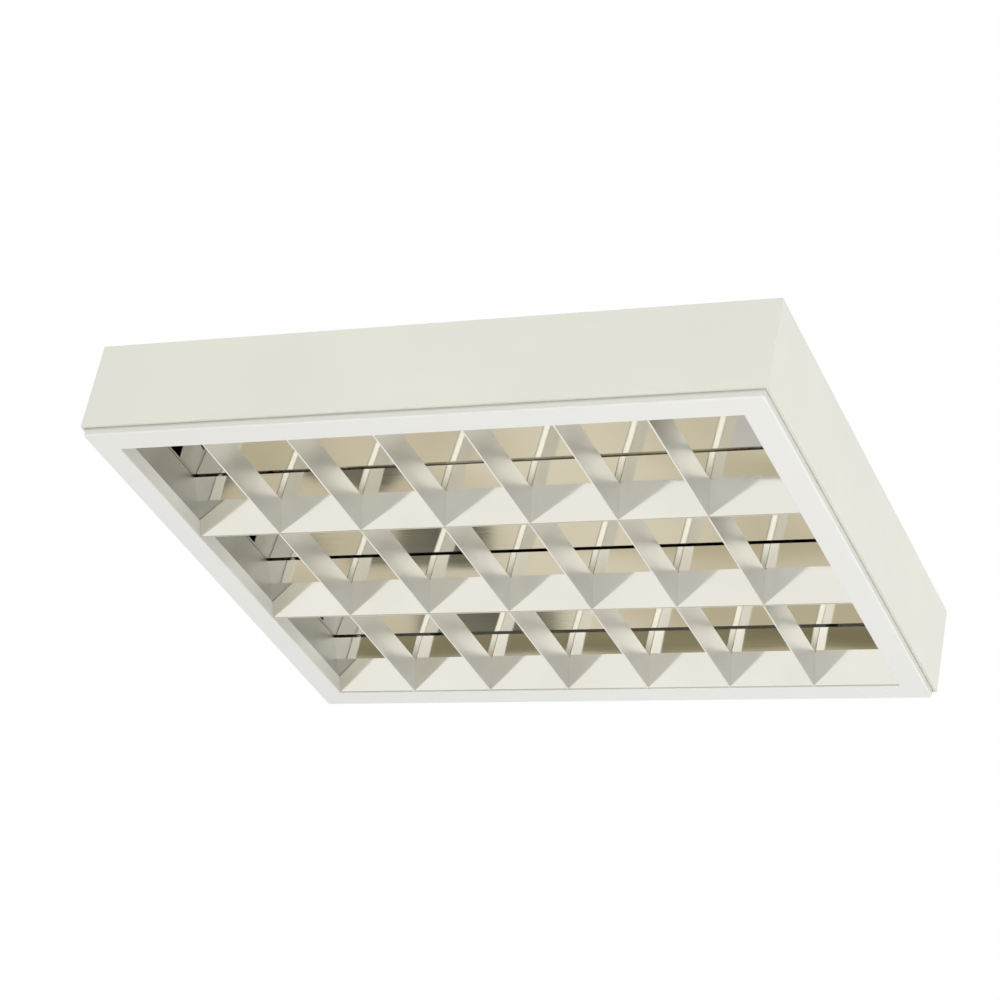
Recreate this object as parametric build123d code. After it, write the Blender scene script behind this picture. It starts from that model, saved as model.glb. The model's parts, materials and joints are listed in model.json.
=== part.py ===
from build123d import *
import math
import os

os.makedirs("parts", exist_ok=True)

# Louvre luminaire with a box housing: three 18 W tubes over a 3 x 7 cell mirror louvre.
# Origin: centre of the ceiling face of the housing. +X along the tubes, +Z up to the ceiling,
# so everything lies below z = 0. Millimetres and degrees.

# ------------------------------------------------------------------ lamps and their holders
ROWS = 3                 # tubes side by side
CELLS = 7                # louvre cells along each tube
ROW_PITCH = 151.7        # from tube to tube
LAMP_LEN = 589.8         # over the faces of the two caps
LAMP_D = 26.0            # metal cap
GLASS_D = 25.4
GLASS_WALL = 0.8
CAP_LEN = 14.0
CAP_WALL = 0.5
PIN_D = 2.35
PIN_LEN = 7.1
PIN_PITCH = 12.7
STEM_D = 8.0             # pressed glass foot that carries a cathode
STEM_LEN = 24.0
COIL_D = 1.6
HOLDER_T = 12.6          # lampholder, front to back
HOLDER_R = 15.0          # round lower end
HOLDER_W = 26.0
HOLDER_CAVITY = 9.8      # depth of the rotor well
LAMP_PLAY = 0.4          # cap face to lampholder
ROTOR_D = 20.0
ROTOR_T = 4.0
ROTOR_GAP = 0.1          # radial running clearance in its well
ROTOR_SINK = 0.2         # rotor face behind the lampholder face
PIN_SLOT = 3.2           # slot that the pins pass through
CONTACT_T = 0.5
CONTACT_L = 3.6
CONTACT_GAP = 0.3        # pin path to contact leaf
PEG_W = 5.0              # snap pegs behind the lampholder
PEG_H = 3.0
PEG_PITCH = 12.0
PEG_OUT = 1.2

# ------------------------------------------------------------------ housing
SHEET = 0.8              # steel sheet of housing, frame and brackets
BEND_R = 1.6             # outer bend radius of the housing
END_FOLD = 2.6           # flanges of the short walls
WELD_GAP = 0.05          # flanges to the sheet that they are welded to
END_AIR = 3.1            # lampholder bracket to end wall
FIX_D = 5.5              # ceiling fixing holes
FIX_X = 440.0            # their spacing along the tubes
ENTRY_D = 20.0           # knocked-out cable entry
ENTRY_X = 70.0
GROMMET_BORE = 10.0
GROMMET_LIP = 3.0
GROMMET_T = 1.6

# ------------------------------------------------------------------ lamp reflectors
ALU = 0.8                # mirror sheet
ROOF_AIR = 4.4           # roof to the top of a reflector
LAMP_TOP_GAP = 5.0       # reflector to tube
TROUGH_R = 22.7          # arc over the tube, tangent to both flanks
MOUTH = 42.0             # half width of the reflector mouth
FLANK_ANGLE = 39.0       # flank, from vertical
FLANGE = 10.0
SCREW_IN = 6.5           # reflector screws behind the edge of the mouth
HANGER_L = 30.0
HANGER_IN = 24.6         # hanger from the end of its reflector
HANGER_HALF = 22.0       # half width between the legs of a hanger
HANGER_FOOT = 10.0
SCREW_D = 3.5
SCREW_HEAD_D = 7.0
SCREW_HEAD_T = 2.0
SCREW_LEN = 6.0
LAMP_SLOT_GAP = 1.0      # tube to its slot in the end reflector
END_FLANGE = 6.5
WIRE_WINDOW_W = 22.0
WIRE_WINDOW_H = 14.0
PLATE_GAP = 0.2          # end reflector of the housing behind the louvre end plate plane

# ------------------------------------------------------------------ louvre door
FRAME_FACE = 24.0        # visible width of the frame
FRAME_INSET = 3.0        # frame edge behind the housing walls
SHADOW = 7.5             # frame face below the edge of the walls
FRAME_R = 1.2
RETURN_H = 19.5          # outer upstand of the frame
LIP_H = 14.0             # inner upstand of the frame
LOUVRE_RECESS = 0.8      # louvre folds above the frame face
LOUVRE_GAP = 2.56        # top of the louvre below the reflector mouths
RIM_H = 29.0             # ridge: rim fold above the line where its faces would meet
RIM_HALF = 18.0
RIDGE_TOP_H = 45.0
RIDGE_TOP_HALF = 32.5
RIDGE_BULGE = 1.0        # parabolic curve of the lower faces, as sagitta
FOLD_R = 1.0             # outer radius of the louvre folds
BLADE_H = 26.0
BLADE_HALF = 3.4
BLADE_T = 0.6
BLADE_FOLD_R = 0.9       # outer radius of the bottom fold of a blade
BLADE_FIT = 0.05
END_T = 0.6
RIVET_D = 3.2
RIVET_HEAD_D = 6.0
RIVET_HEAD_T = 1.0
RIVET_X = 240.0

# ------------------------------------------------------------------ hinges and clips
HINGE_X = 205.0
AXIS_IN = 5.0            # hinge axis behind the outer face of the frame
AXIS_UP = 4.5            # hinge axis above the frame face
PIN_HINGE_D = 2.5
KNUCKLE_D = 5.0
KNUCKLE_MID = 12.0
KNUCKLE_SIDE = 9.0
KNUCKLE_GAP = 0.3
HINGE_BORE_GAP = 0.05
LEAF_T = 1.0
LEAF_H = 22.0            # fixed leaf on the wall
LEAF_TOP = 52.0          # its upper edge below the ceiling face
MOVING_LEAF = 14.0
CLIP_X = 205.0
CLIP_W = 16.0
CLIP_T = 0.5
CLIP_LEN = 30.0
CLIP_GAP = 0.3

# ------------------------------------------------------------------ electrical gear
GEAR_L = 250.0
GEAR_W = 30.0
GEAR_H = 21.0
GEAR_TAB = 12.0
GEAR_TAB_T = 1.2
GEAR_EDGE_R = 1.5
PLUG_L = 16.0            # push-in terminals at both ends of the gear
PLUG_W = 26.0
PLUG_H = 12.0
POLES = 3
POLE_PITCH = 10.0
BLOCK_W = 24.0
BLOCK_H = 17.0
BLOCK_HOLE = 4.0
BLOCK_SCREW_D = 4.0
EARTH_X = -60.0
EARTH_D = 5.0
EARTH_LEN = 14.0
EARTH_NUT_W = 8.0
EARTH_NUT_T = 4.0
WIRE_D = 1.8
WIRE_STEP = 2.2
WIRE_LANE = 3.0          # between the wires of two lampholders where they leave the gear
WIRE_OUT = 4.0           # wires beside the centre line of the gear and of a lampholder

# ------------------------------------------------------------------ derived positions
TRAY_L = LAMP_LEN + 2 * (LAMP_PLAY + HOLDER_T + SHEET + END_AIR + SHEET)
EDGE = FRAME_INSET + FRAME_FACE
OPEN_L = TRAY_L - 2 * EDGE
OPEN_W = ROWS * ROW_PITCH
TRAY_W = OPEN_W + 2 * EDGE
FRAME_L = TRAY_L - 2 * FRAME_INSET
FRAME_W = TRAY_W - 2 * FRAME_INSET
CELL = OPEN_L / CELLS
ROW_Y = [(i - (ROWS - 1) / 2) * ROW_PITCH for i in range(ROWS)]
GAP_Y = [(ROW_Y[i] + ROW_Y[i + 1]) / 2 for i in range(ROWS - 1)]

Z_ROOF = -SHEET
Z_TROUGH = Z_ROOF - ROOF_AIR - ALU
Z_LAMP = Z_TROUGH - LAMP_TOP_GAP - LAMP_D / 2
Z_ARC = Z_TROUGH - TROUGH_R
FLANK = math.radians(FLANK_ANGLE)
Y_TANGENT = TROUGH_R * math.cos(FLANK)
Z_TANGENT = Z_ARC + TROUGH_R * math.sin(FLANK)
Z_MOUTH = Z_TANGENT - (MOUTH - Y_TANGENT) / math.tan(FLANK)
Z_FLANGE = Z_MOUTH + ALU
RIDGE_TILT = math.atan(RIM_HALF / RIM_H) - 4 * RIDGE_BULGE / math.hypot(RIM_HALF, RIM_H)
Z_RIDGE_TOP = Z_MOUTH - LOUVRE_GAP
Z_APEX = Z_RIDGE_TOP - RIDGE_TOP_H       # where the faces of a ridge would meet
Z_FOLD = Z_APEX + FOLD_R * (1 / math.sin(RIDGE_TILT) - 1)
Z_FACE = Z_FOLD - LOUVRE_RECESS
WALL_H = -Z_FACE - SHADOW
Z_LIP = Z_FACE + LIP_H
X_LIP = OPEN_L / 2 + SHEET
X_END = X_LIP + END_T
X_PLATE = X_LIP + PLATE_GAP
HANGER_X = X_PLATE - HANGER_IN
X_CAP = LAMP_LEN / 2
X_HOLDER = X_CAP + LAMP_PLAY
X_BRACKET = X_HOLDER + HOLDER_T
Y_LIP = OPEN_W / 2 + SHEET
Y_WALL = TRAY_W / 2 - SHEET
HINGE_Y = FRAME_W / 2 - AXIS_IN
HINGE_Z = Z_FACE + AXIS_UP


# ------------------------------------------------------------------ helpers
def block(x0, x1, y0, y1, z0, z1):
    """Box between two corners."""
    size = Box(abs(x1 - x0), abs(y1 - y0), abs(z1 - z0))
    return Pos((x0 + x1) / 2, (y0 + y1) / 2, (z0 + z1) / 2) * size


def rod(diameter, length, place=Pos(0, 0, 0)):
    """Cylinder that starts at the place and runs along its Z axis."""
    return place * Pos(0, 0, length / 2) * Cylinder(diameter / 2, length)


def along_x(x, y, z, sign=1):
    """Place whose Z axis points along +X or -X."""
    return Pos(x, y, z) * Rot(0, 90 * sign, 0)


def sheet_face(line, thickness, side=Side.LEFT):
    """Section of folded sheet: a line, thickened to one side."""
    edge = line.wire() if hasattr(line, "wire") else line
    return make_face(edge.offset_2d(thickness, Kind.ARC, side, True).edges())


def extrude_x(face, length):
    """Extrudes a section drawn as (y, z) along X, centred on x = 0."""
    solid = extrude(Plane.YZ * face, length, dir=(1, 0, 0))
    return Pos(-length / 2, 0, 0) * solid


def extrude_y(face, length):
    """Extrudes a section drawn as (x, z) along Y, centred on y = 0."""
    solid = extrude(Plane.XZ * face, length, dir=(0, 1, 0))
    return Pos(0, -length / 2, 0) * solid


def mirror_x(shape):
    return mirror(shape, Plane.YZ)


def save(name, shapes):
    """Writes one node: one solid, or a group of separate solids."""
    solids = [s for shape in (shapes if isinstance(shapes, list) else [shapes]) for s in shape.solids()]
    export_step(Compound(children=solids) if len(solids) > 1 else solids[0], f"parts/{name}.step")


# ------------------------------------------------------------------ housing
def housing_body():
    """Folded steel body: the roof and the two long walls."""
    outer = Polyline((-TRAY_W / 2, -WALL_H), (-TRAY_W / 2, 0), (TRAY_W / 2, 0), (TRAY_W / 2, -WALL_H))
    body = extrude_x(sheet_face(outer, SHEET, Side.RIGHT), TRAY_L)
    folds = fold_edges(body, [(-TRAY_W / 2, 0), (TRAY_W / 2, 0)])
    body = fillet(folds, BEND_R)
    folds = fold_edges(body, [(-Y_WALL, Z_ROOF), (Y_WALL, Z_ROOF)])
    body = fillet(folds, max(BEND_R - SHEET, 0.2))
    for x in (-FIX_X / 2, FIX_X / 2):
        for y in GAP_Y:
            body -= rod(FIX_D, 4 * SHEET, Pos(x, y, -2 * SHEET))
    for side in (-1, 1):
        body -= rod(SCREW_D, 4 * SHEET, Pos(side * gear_screw_x(), GAP_Y[0], -2 * SHEET))
    body -= rod(ENTRY_D, 4 * SHEET, Pos(ENTRY_X, GAP_Y[-1], -2 * SHEET))
    body -= rod(EARTH_D, 4 * SHEET, Pos(EARTH_X, GAP_Y[-1], -2 * SHEET))
    return body


def housing_end():
    """Short wall at +X between the long walls, with folded flanges welded under the roof and to the walls."""
    half = Y_WALL - WELD_GAP
    top = Z_ROOF - WELD_GAP
    x0, x1 = TRAY_L / 2 - SHEET, TRAY_L / 2
    wall = block(x0, x1, -half, half, -WALL_H, top)
    corners = [e for e in wall.edges().filter_by(Axis.X) if e.center().Z > top - 0.1]
    wall = fillet(corners, BEND_R - SHEET)
    wall += block(x1 - END_FOLD, x1, -half + BEND_R, half - BEND_R, top - SHEET, top)
    for side in (-1, 1):
        tab = (side * half, side * (half - SHEET), -WALL_H + SHADOW + RETURN_H, top - BEND_R)
        wall += block(x1 - END_FOLD, x1, *tab)
    return wall


def cable_grommet():
    """Rubber ring, grooved for the roof sheet, with the bore for the supply cable."""
    half = SHEET / 2
    groove = (ENTRY_D) / 2
    lip = groove + GROMMET_LIP
    bore = GROMMET_BORE / 2
    upper = 0
    lower = -SHEET - GROMMET_T
    outline = Polyline((bore, upper), (groove, upper), (groove, -SHEET), (lip, -SHEET),
                       (lip - half, lower), (bore, lower), close=True)
    ring = revolve(Plane.XZ * make_face(outline), Axis.Z)
    return Pos(ENTRY_X, GAP_Y[-1], 0) * ring


# ------------------------------------------------------------------ lamp reflectors
def upper_reflector(row):
    """Trough over one tube: an arc, two flat flanks and the flanges that it hangs by."""
    out = MOUTH + FLANGE
    left = Polyline((-out, Z_MOUTH), (-MOUTH, Z_MOUTH), (-Y_TANGENT, Z_TANGENT))
    arc = ThreePointArc((-Y_TANGENT, Z_TANGENT), (0, Z_TROUGH), (Y_TANGENT, Z_TANGENT))
    right = Polyline((Y_TANGENT, Z_TANGENT), (MOUTH, Z_MOUTH), (out, Z_MOUTH))
    section = sheet_face((left + arc + right), ALU)
    trough = Pos(0, ROW_Y[row], 0) * extrude_x(section, 2 * X_PLATE)
    for x in (-HANGER_X, HANGER_X):
        for side in (-1, 1):
            y = ROW_Y[row] + side * screw_y()
            trough -= rod(SCREW_D, 3 * ALU, Pos(x, y, Z_MOUTH - ALU))
    return trough


def screw_y():
    """Reflector screws, from the centre line of their tube."""
    return MOUTH + SCREW_IN


def gap_hanger(x, y):
    """Hat of folded sheet under the roof, between two reflectors; its feet lie on the flanges."""
    foot = HANGER_HALF + HANGER_FOOT
    line = Polyline((-foot, Z_FLANGE), (-HANGER_HALF, Z_FLANGE), (-HANGER_HALF, Z_ROOF - SHEET),
                    (HANGER_HALF, Z_ROOF - SHEET), (HANGER_HALF, Z_FLANGE), (foot, Z_FLANGE))
    hat = Pos(x, y, 0) * extrude_x(sheet_face(line, SHEET), HANGER_L)
    for side in (-1, 1):
        hole_y = y + side * (ROW_PITCH / 2 - screw_y())
        hat -= rod(SCREW_D, 3 * SHEET, Pos(x, hole_y, Z_FLANGE - SHEET))
    return hat


def side_hanger(x, side):
    """Z-shaped hanger between the outer flange of a reflector and the roof."""
    leg = ROW_Y[-1] + ROW_PITCH / 2 - HANGER_HALF
    inner = leg - HANGER_FOOT
    line = Polyline((inner, Z_FLANGE), (leg, Z_FLANGE), (leg, Z_ROOF - SHEET),
                    (leg + 1.5 * HANGER_FOOT, Z_ROOF - SHEET))
    bracket = Pos(x, 0, 0) * extrude_x(sheet_face(line, SHEET), HANGER_L)
    bracket -= rod(SCREW_D, 3 * SHEET, Pos(x, ROW_Y[-1] + screw_y(), Z_FLANGE - SHEET))
    return bracket if side > 0 else mirror(bracket, Plane.XZ)


def pan_screw(x, y, z, sink=SCREW_LEN):
    """Pan-head screw that goes up from z; the head is below."""
    head = rod(SCREW_HEAD_D, SCREW_HEAD_T, Pos(x, y, z - SCREW_HEAD_T))
    head = fillet(head.edges().sort_by(Axis.Z)[0], 0.45 * SCREW_HEAD_T)
    return head + rod(SCREW_D - 0.1, sink, Pos(x, y, z))


def reflector_screws():
    return [pan_screw(x, ROW_Y[row] + side * screw_y(), Z_MOUTH)
            for row in range(ROWS) for side in (-1, 1) for x in (-HANGER_X, HANGER_X)]


def end_reflector():
    """End plate of the troughs at +X, slotted for the tubes, with a flange on the roof."""
    half = ROW_Y[-1] + MOUTH + FLANGE
    plate = block(X_PLATE, X_PLATE + SHEET, -half, half, Z_MOUTH, Z_ROOF)
    plate += block(X_PLATE, X_PLATE + END_FLANGE, -half, half, Z_ROOF - SHEET, Z_ROOF)
    slot_r = LAMP_D / 2 + LAMP_SLOT_GAP
    for y in ROW_Y:
        plate -= rod(2 * slot_r, 3 * SHEET, along_x(X_PLATE - SHEET, y, Z_LAMP))
        plate -= block(X_PLATE - 1, X_PLATE + 2 * SHEET, y - slot_r, y + slot_r, Z_MOUTH - 1, Z_LAMP)
    for y in GAP_Y:
        high = Z_ROOF - 2 * SHEET
        window = (y - WIRE_WINDOW_W / 2, y + WIRE_WINDOW_W / 2, high - WIRE_WINDOW_H, high)
        plate -= block(X_PLATE - 1, X_PLATE + END_FLANGE + 1, *window)
    return plate


# ------------------------------------------------------------------ lampholders
def holder_bracket():
    """Upright sheet at +X that carries the lampholders."""
    half = ROW_Y[-1] + HOLDER_W
    web = block(X_BRACKET, X_BRACKET + SHEET, -half, half, Z_LAMP - HOLDER_R, Z_ROOF)
    foot = block(X_BRACKET + SHEET - HOLDER_T, X_BRACKET + SHEET, -half, half, Z_ROOF - SHEET, Z_ROOF)
    bracket = web + foot
    for y in ROW_Y:
        for side in (-1, 1):
            mid = y + side * PEG_PITCH / 2
            bracket -= block(X_BRACKET - 1, X_BRACKET + 2 * SHEET, mid - PEG_W / 2 - 0.1,
                             mid + PEG_W / 2 + 0.1, Z_LAMP - PEG_H / 2 - 0.1, Z_LAMP + PEG_H / 2 + 0.1)
    return bracket


def holder_top():
    """Upper end of a lampholder, below the foot of its bracket and the wires."""
    return Z_ROOF - SHEET - WIRE_D - 0.6


def lampholder(row):
    """Rotary lampholder at +X: moulded body with rotor well, pin slot and snap pegs."""
    y = ROW_Y[row]
    body = rod(2 * HOLDER_R, HOLDER_T, along_x(X_HOLDER, y, Z_LAMP))
    upper = block(X_HOLDER, X_BRACKET, y - HOLDER_W / 2, y + HOLDER_W / 2, Z_LAMP, holder_top())
    upper = fillet(upper.edges().filter_by(Axis.X).sort_by(Axis.Z)[-2:], 3)
    body = body + upper
    front = body.faces().sort_by(Axis.X)[0].outer_wire().edges()
    body = fillet(front, 0.8)
    well = ROTOR_D / 2 + ROTOR_GAP
    body -= rod(2 * well, HOLDER_CAVITY, along_x(X_HOLDER, y, Z_LAMP))
    low = Z_LAMP - HOLDER_R - 1
    body -= block(X_HOLDER - 1, X_HOLDER + HOLDER_CAVITY, y - PIN_SLOT / 2, y + PIN_SLOT / 2, low, Z_LAMP)
    for side in (-1, 1):
        mid = y + side * PEG_PITCH / 2
        body += block(X_BRACKET - 0.5, X_BRACKET + SHEET + PEG_OUT, mid - PEG_W / 2, mid + PEG_W / 2,
                      Z_LAMP - PEG_H / 2, Z_LAMP + PEG_H / 2)
    return body


def lamp_contacts():
    """Bronze contact leaves in the wells, one on each side of the pins."""
    leaves = []
    path = (PIN_PITCH + PIN_D) / 2 + CONTACT_GAP
    x0 = X_HOLDER + ROTOR_SINK + ROTOR_T + 0.4
    x1 = X_HOLDER + HOLDER_CAVITY
    for y in ROW_Y:
        for side in (-1, 1):
            leaf = block(x0, x1, y + side * path, y + side * (path + CONTACT_T),
                         Z_LAMP - CONTACT_L / 2, Z_LAMP + CONTACT_L / 2)
            leaves += [leaf, mirror_x(leaf)]
    return leaves


# ------------------------------------------------------------------ tubes
def lamp_glass(y):
    """Glass tube with its phosphor coat, closed by the stems inside the caps."""
    length = LAMP_LEN - 2 * CAP_WALL
    outer = rod(GLASS_D, length, along_x(-length / 2, y, Z_LAMP))
    inner = rod(GLASS_D - 2 * GLASS_WALL, length - 2 * GLASS_WALL,
                along_x(-length / 2 + GLASS_WALL, y, Z_LAMP))
    return outer - inner


def lamp_cap(y):
    """Pressed aluminium cap at +X with two holes for the pins."""
    cap = rod(LAMP_D, CAP_LEN, along_x(X_CAP - CAP_LEN, y, Z_LAMP))
    cap = fillet(cap.edges().sort_by(Axis.X)[-1], 1.2)
    cap -= rod(GLASS_D, CAP_LEN - CAP_WALL, along_x(X_CAP - CAP_LEN, y, Z_LAMP))
    for side in (-1, 1):
        cap -= rod(PIN_D, 2, along_x(X_CAP - 1, y + side * PIN_PITCH / 2, Z_LAMP))
    return cap


def lamp_pins(y):
    pins = []
    for side in (-1, 1):
        pin = rod(PIN_D, PIN_LEN + CAP_WALL, along_x(X_CAP - CAP_WALL, y + side * PIN_PITCH / 2, Z_LAMP))
        pin = fillet(pin.edges().sort_by(Axis.X)[-1], 0.6)
        pins += [pin, mirror_x(pin)]
    return pins


def lamp_rotor(y):
    """Rotor that the pins turn in the lampholder; it is locked with the pins level."""
    start = X_HOLDER + ROTOR_SINK
    rotor = rod(ROTOR_D, ROTOR_T, along_x(start, y, Z_LAMP))
    reach = ROTOR_D / 2 + 1
    rotor -= block(start - 1, start + ROTOR_T + 1, y - reach, y + reach,
                   Z_LAMP - PIN_SLOT / 2, Z_LAMP + PIN_SLOT / 2)
    web = block(start, start + ROTOR_T, y - PIN_PITCH / 2 + PIN_D, y + PIN_PITCH / 2 - PIN_D,
                Z_LAMP - PIN_SLOT / 2, Z_LAMP + PIN_SLOT / 2)
    return rotor + web


def lamp_cathode(y):
    """Glass stem inside the tube at +X with its coiled filament across the end."""
    stem = rod(STEM_D, STEM_LEN, along_x(X_CAP - CAP_WALL - GLASS_WALL - STEM_LEN, y, Z_LAMP))
    x = X_CAP - CAP_WALL - GLASS_WALL - STEM_LEN - COIL_D
    coil = Pos(x, y - STEM_D / 2, Z_LAMP) * Rot(-90, 0, 0) * Pos(0, 0, STEM_D / 2)
    coil = coil * Cylinder(COIL_D / 2, STEM_D)
    post = block(x, x + 2 * COIL_D, y - STEM_D / 2 + COIL_D / 2, y - STEM_D / 2 + COIL_D,
                 Z_LAMP - COIL_D / 4, Z_LAMP + COIL_D / 4)
    return stem + coil + post + mirror(post, Plane.XZ.offset(-y))


# ------------------------------------------------------------------ louvre door
def ring(half_x, half_y, wall, z0, z1):
    """Upright rectangular band with its outer faces at the given half widths."""
    return (block(-half_x, half_x, -half_y, half_y, z0, z1)
            - block(-half_x + wall, half_x - wall, -half_y + wall, half_y - wall, z0 - 1, z1 + 1))


def door_frame():
    """One folded frame: flat face, outer upstand behind the walls and inner upstand."""
    body = block(-FRAME_L / 2, FRAME_L / 2, -FRAME_W / 2, FRAME_W / 2, Z_FACE, Z_FACE + RETURN_H)
    body = fillet(body.edges().filter_by(Axis.Z), FRAME_R + 0.4)
    body = fillet(body.faces().sort_by(Axis.Z)[0].edges(), FRAME_R)
    inside = block(-FRAME_L / 2 + SHEET, FRAME_L / 2 - SHEET, -FRAME_W / 2 + SHEET,
                   FRAME_W / 2 - SHEET, Z_FACE + SHEET, Z_FACE + RETURN_H + 1)
    body -= fillet(inside.edges().filter_by(Axis.Z), FRAME_R + 0.4 - SHEET)
    body += ring(X_LIP, Y_LIP, SHEET, Z_FACE, Z_LIP)
    window = block(-OPEN_L / 2, OPEN_L / 2, -OPEN_W / 2, OPEN_W / 2, Z_FACE - 1, Z_LIP + 1)
    body -= window
    mouth = body.faces().sort_by(Axis.Z)[0].inner_wires()[0].edges()
    body = fillet(mouth, 0.6 * SHEET)
    width = knuckle_span() + 2 * KNUCKLE_GAP
    for x in (-HINGE_X, HINGE_X):
        body -= block(x - width / 2 - 2, x + width / 2 + 2, FRAME_W / 2 - SHEET - 0.2,
                      FRAME_W / 2 + 1, Z_FACE + SHEET, Z_FACE + RETURN_H + 1)
    for x in (-RIVET_X, 0, RIVET_X):
        for side in (-1, 1):
            body -= rod(RIVET_D, 3 * SHEET, rivet_place(x, side, 0.5 * SHEET))
    return body


def rivet_place(x, side, back=0.0):
    """Start of a rivet hole: through the inner upstand and the web of a side reflector."""
    y = side * (OPEN_W / 2 - ALU - back)
    return Pos(x, y, (Z_LIP + Z_FACE + SHEET) / 2) * Rot(-90 * side, 0, 0)


def ridge_line():
    """Outer line of a ridge over y = 0, from one top edge over the bottom fold to the other."""
    top, rim, fold = (RIDGE_TOP_HALF, RIDGE_TOP_H), (RIM_HALF, RIM_H), (0, 0)
    left = Polyline((-top[0], top[1]), (-rim[0], rim[1])) + SagittaArc((-rim[0], rim[1]), fold, RIDGE_BULGE)
    return left + SagittaArc(fold, rim, RIDGE_BULGE) + Polyline(rim, top)


def fold_edges(solid, points):
    """Edges of an extruded section that run along X through the given (y, z) points."""
    found = []
    for y, z in points:
        near = [e for e in solid.edges().filter_by(Axis.X)
                if abs(e.center().Y - y) < 0.05 and abs(e.center().Z - z) < 0.05]
        found += near
    return found


def ridge_ends():
    """What the inner upstands of the frame take away from the ends of a ridge."""
    reach = OPEN_W
    right = block(OPEN_L / 2 - 0.2, X_LIP + 1, -reach, reach, Z_FACE, Z_LIP + 0.2)
    return [right, mirror_x(right)]


def whole_ridge():
    """V-shaped mirror ridge over y = 0, notched for the frame."""
    ridge = Pos(0, 0, Z_APEX) * extrude_x(sheet_face(ridge_line(), ALU), 2 * X_LIP)
    folds = [(-RIM_HALF, Z_APEX + RIM_H), (0, Z_APEX), (RIM_HALF, Z_APEX + RIM_H)]
    ridge = fillet(fold_edges(ridge, folds), FOLD_R)
    for end in ridge_ends():
        ridge -= end
    return ridge


def louvre_ridge(y):
    """Mirror ridge between two rows of cells."""
    return Pos(0, y, 0) * whole_ridge()


def louvre_side(side):
    """Half ridge along a long side of the frame, with an upright web against its upstand."""
    web = block(-X_LIP, X_LIP, 0, ALU, Z_FOLD + FOLD_R, Z_APEX + RIM_H)
    for end in ridge_ends():
        web -= end
    half = whole_ridge() + web
    half -= block(-X_LIP - 1, X_LIP + 1, -2 * RIDGE_TOP_HALF, 0, Z_FACE, Z_RIDGE_TOP + ALU)
    half = Pos(0, -OPEN_W / 2, 0) * half
    for x in (-RIVET_X, 0, RIVET_X):
        half -= rod(RIVET_D, 3 * SHEET, rivet_place(x, -1, 0.5 * SHEET))
    return half if side < 0 else mirror(half, Plane.XZ)


def louvre_rivets():
    """Tubular rivets through the frame upstand and the side reflectors."""
    rivets = []
    for x in (-RIVET_X, 0, RIVET_X):
        for side in (-1, 1):
            shank = rod(RIVET_D - 0.1, ALU + SHEET, rivet_place(x, side))
            head = rod(RIVET_HEAD_D, RIVET_HEAD_T, rivet_place(x, side, -ALU - SHEET))
            rivets.append(shank + head)
    return rivets


def cell_prism():
    """Room between two ridges, in which the cross blades of a row lie."""
    half = ROW_PITCH / 2 - BLADE_FIT
    left = SagittaArc((-half, 0), (-half + RIM_HALF, RIM_H), RIDGE_BULGE)
    right = SagittaArc((half - RIM_HALF, RIM_H), (half, 0), RIDGE_BULGE)
    lines = left + Line((-half + RIM_HALF, RIM_H), (half - RIM_HALF, RIM_H)) + right
    section = make_face(lines.edges() + Line((half, 0), (-half, 0)).edges())
    return Pos(0, 0, Z_APEX) * extrude_x(section, 2 * CELL)


def cross_blade():
    """V-shaped cross blade at x = 0, cut to the faces of the ridges beside it."""
    r = BLADE_FOLD_R
    left = Line((-BLADE_HALF, BLADE_H), (-r, r))
    line = left + ThreePointArc((-r, r), (0, 0), (r, r)) + Line((r, r), (BLADE_HALF, BLADE_H))
    blade = Pos(0, 0, Z_FOLD) * extrude_y(sheet_face(line, BLADE_T), ROW_PITCH)
    return blade & cell_prism()


def blade_row(row, blade):
    return [Pos((i + 1) * CELL - OPEN_L / 2, ROW_Y[row], 0) * blade for i in range(CELLS - 1)]


def louvre_end():
    """Mirror end plate of the louvre at +X, behind the upstand of the frame."""
    plate = block(X_LIP, X_END, -OPEN_W / 2, OPEN_W / 2, Z_FACE + 2 * SHEET, Z_RIDGE_TOP)
    return fillet(plate.edges().filter_by(Axis.X).sort_by(Axis.Z)[-2:], 6)


# ------------------------------------------------------------------ hinges and clips
def knuckle_span():
    return KNUCKLE_MID + 2 * (KNUCKLE_GAP + KNUCKLE_SIDE)


def hinge_fixed(x):
    """Leaf on the housing wall with a goose neck down to the middle knuckle."""
    z_bend = -LEAF_TOP - LEAF_H
    line = Polyline((Y_WALL, -LEAF_TOP), (Y_WALL, z_bend), (HINGE_Y - LEAF_T / 2, z_bend),
                    (HINGE_Y - LEAF_T / 2, HINGE_Z))
    arm = Pos(x, 0, 0) * extrude_x(sheet_face(line, LEAF_T, Side.RIGHT), KNUCKLE_MID)
    arm += Pos(x, HINGE_Y, HINGE_Z) * Rot(0, 90, 0) * Cylinder(KNUCKLE_D / 2, KNUCKLE_MID)
    bore = PIN_HINGE_D + 2 * HINGE_BORE_GAP
    return arm - Pos(x, HINGE_Y, HINGE_Z) * Rot(0, 90, 0) * Cylinder(bore / 2, KNUCKLE_MID + 2)


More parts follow.
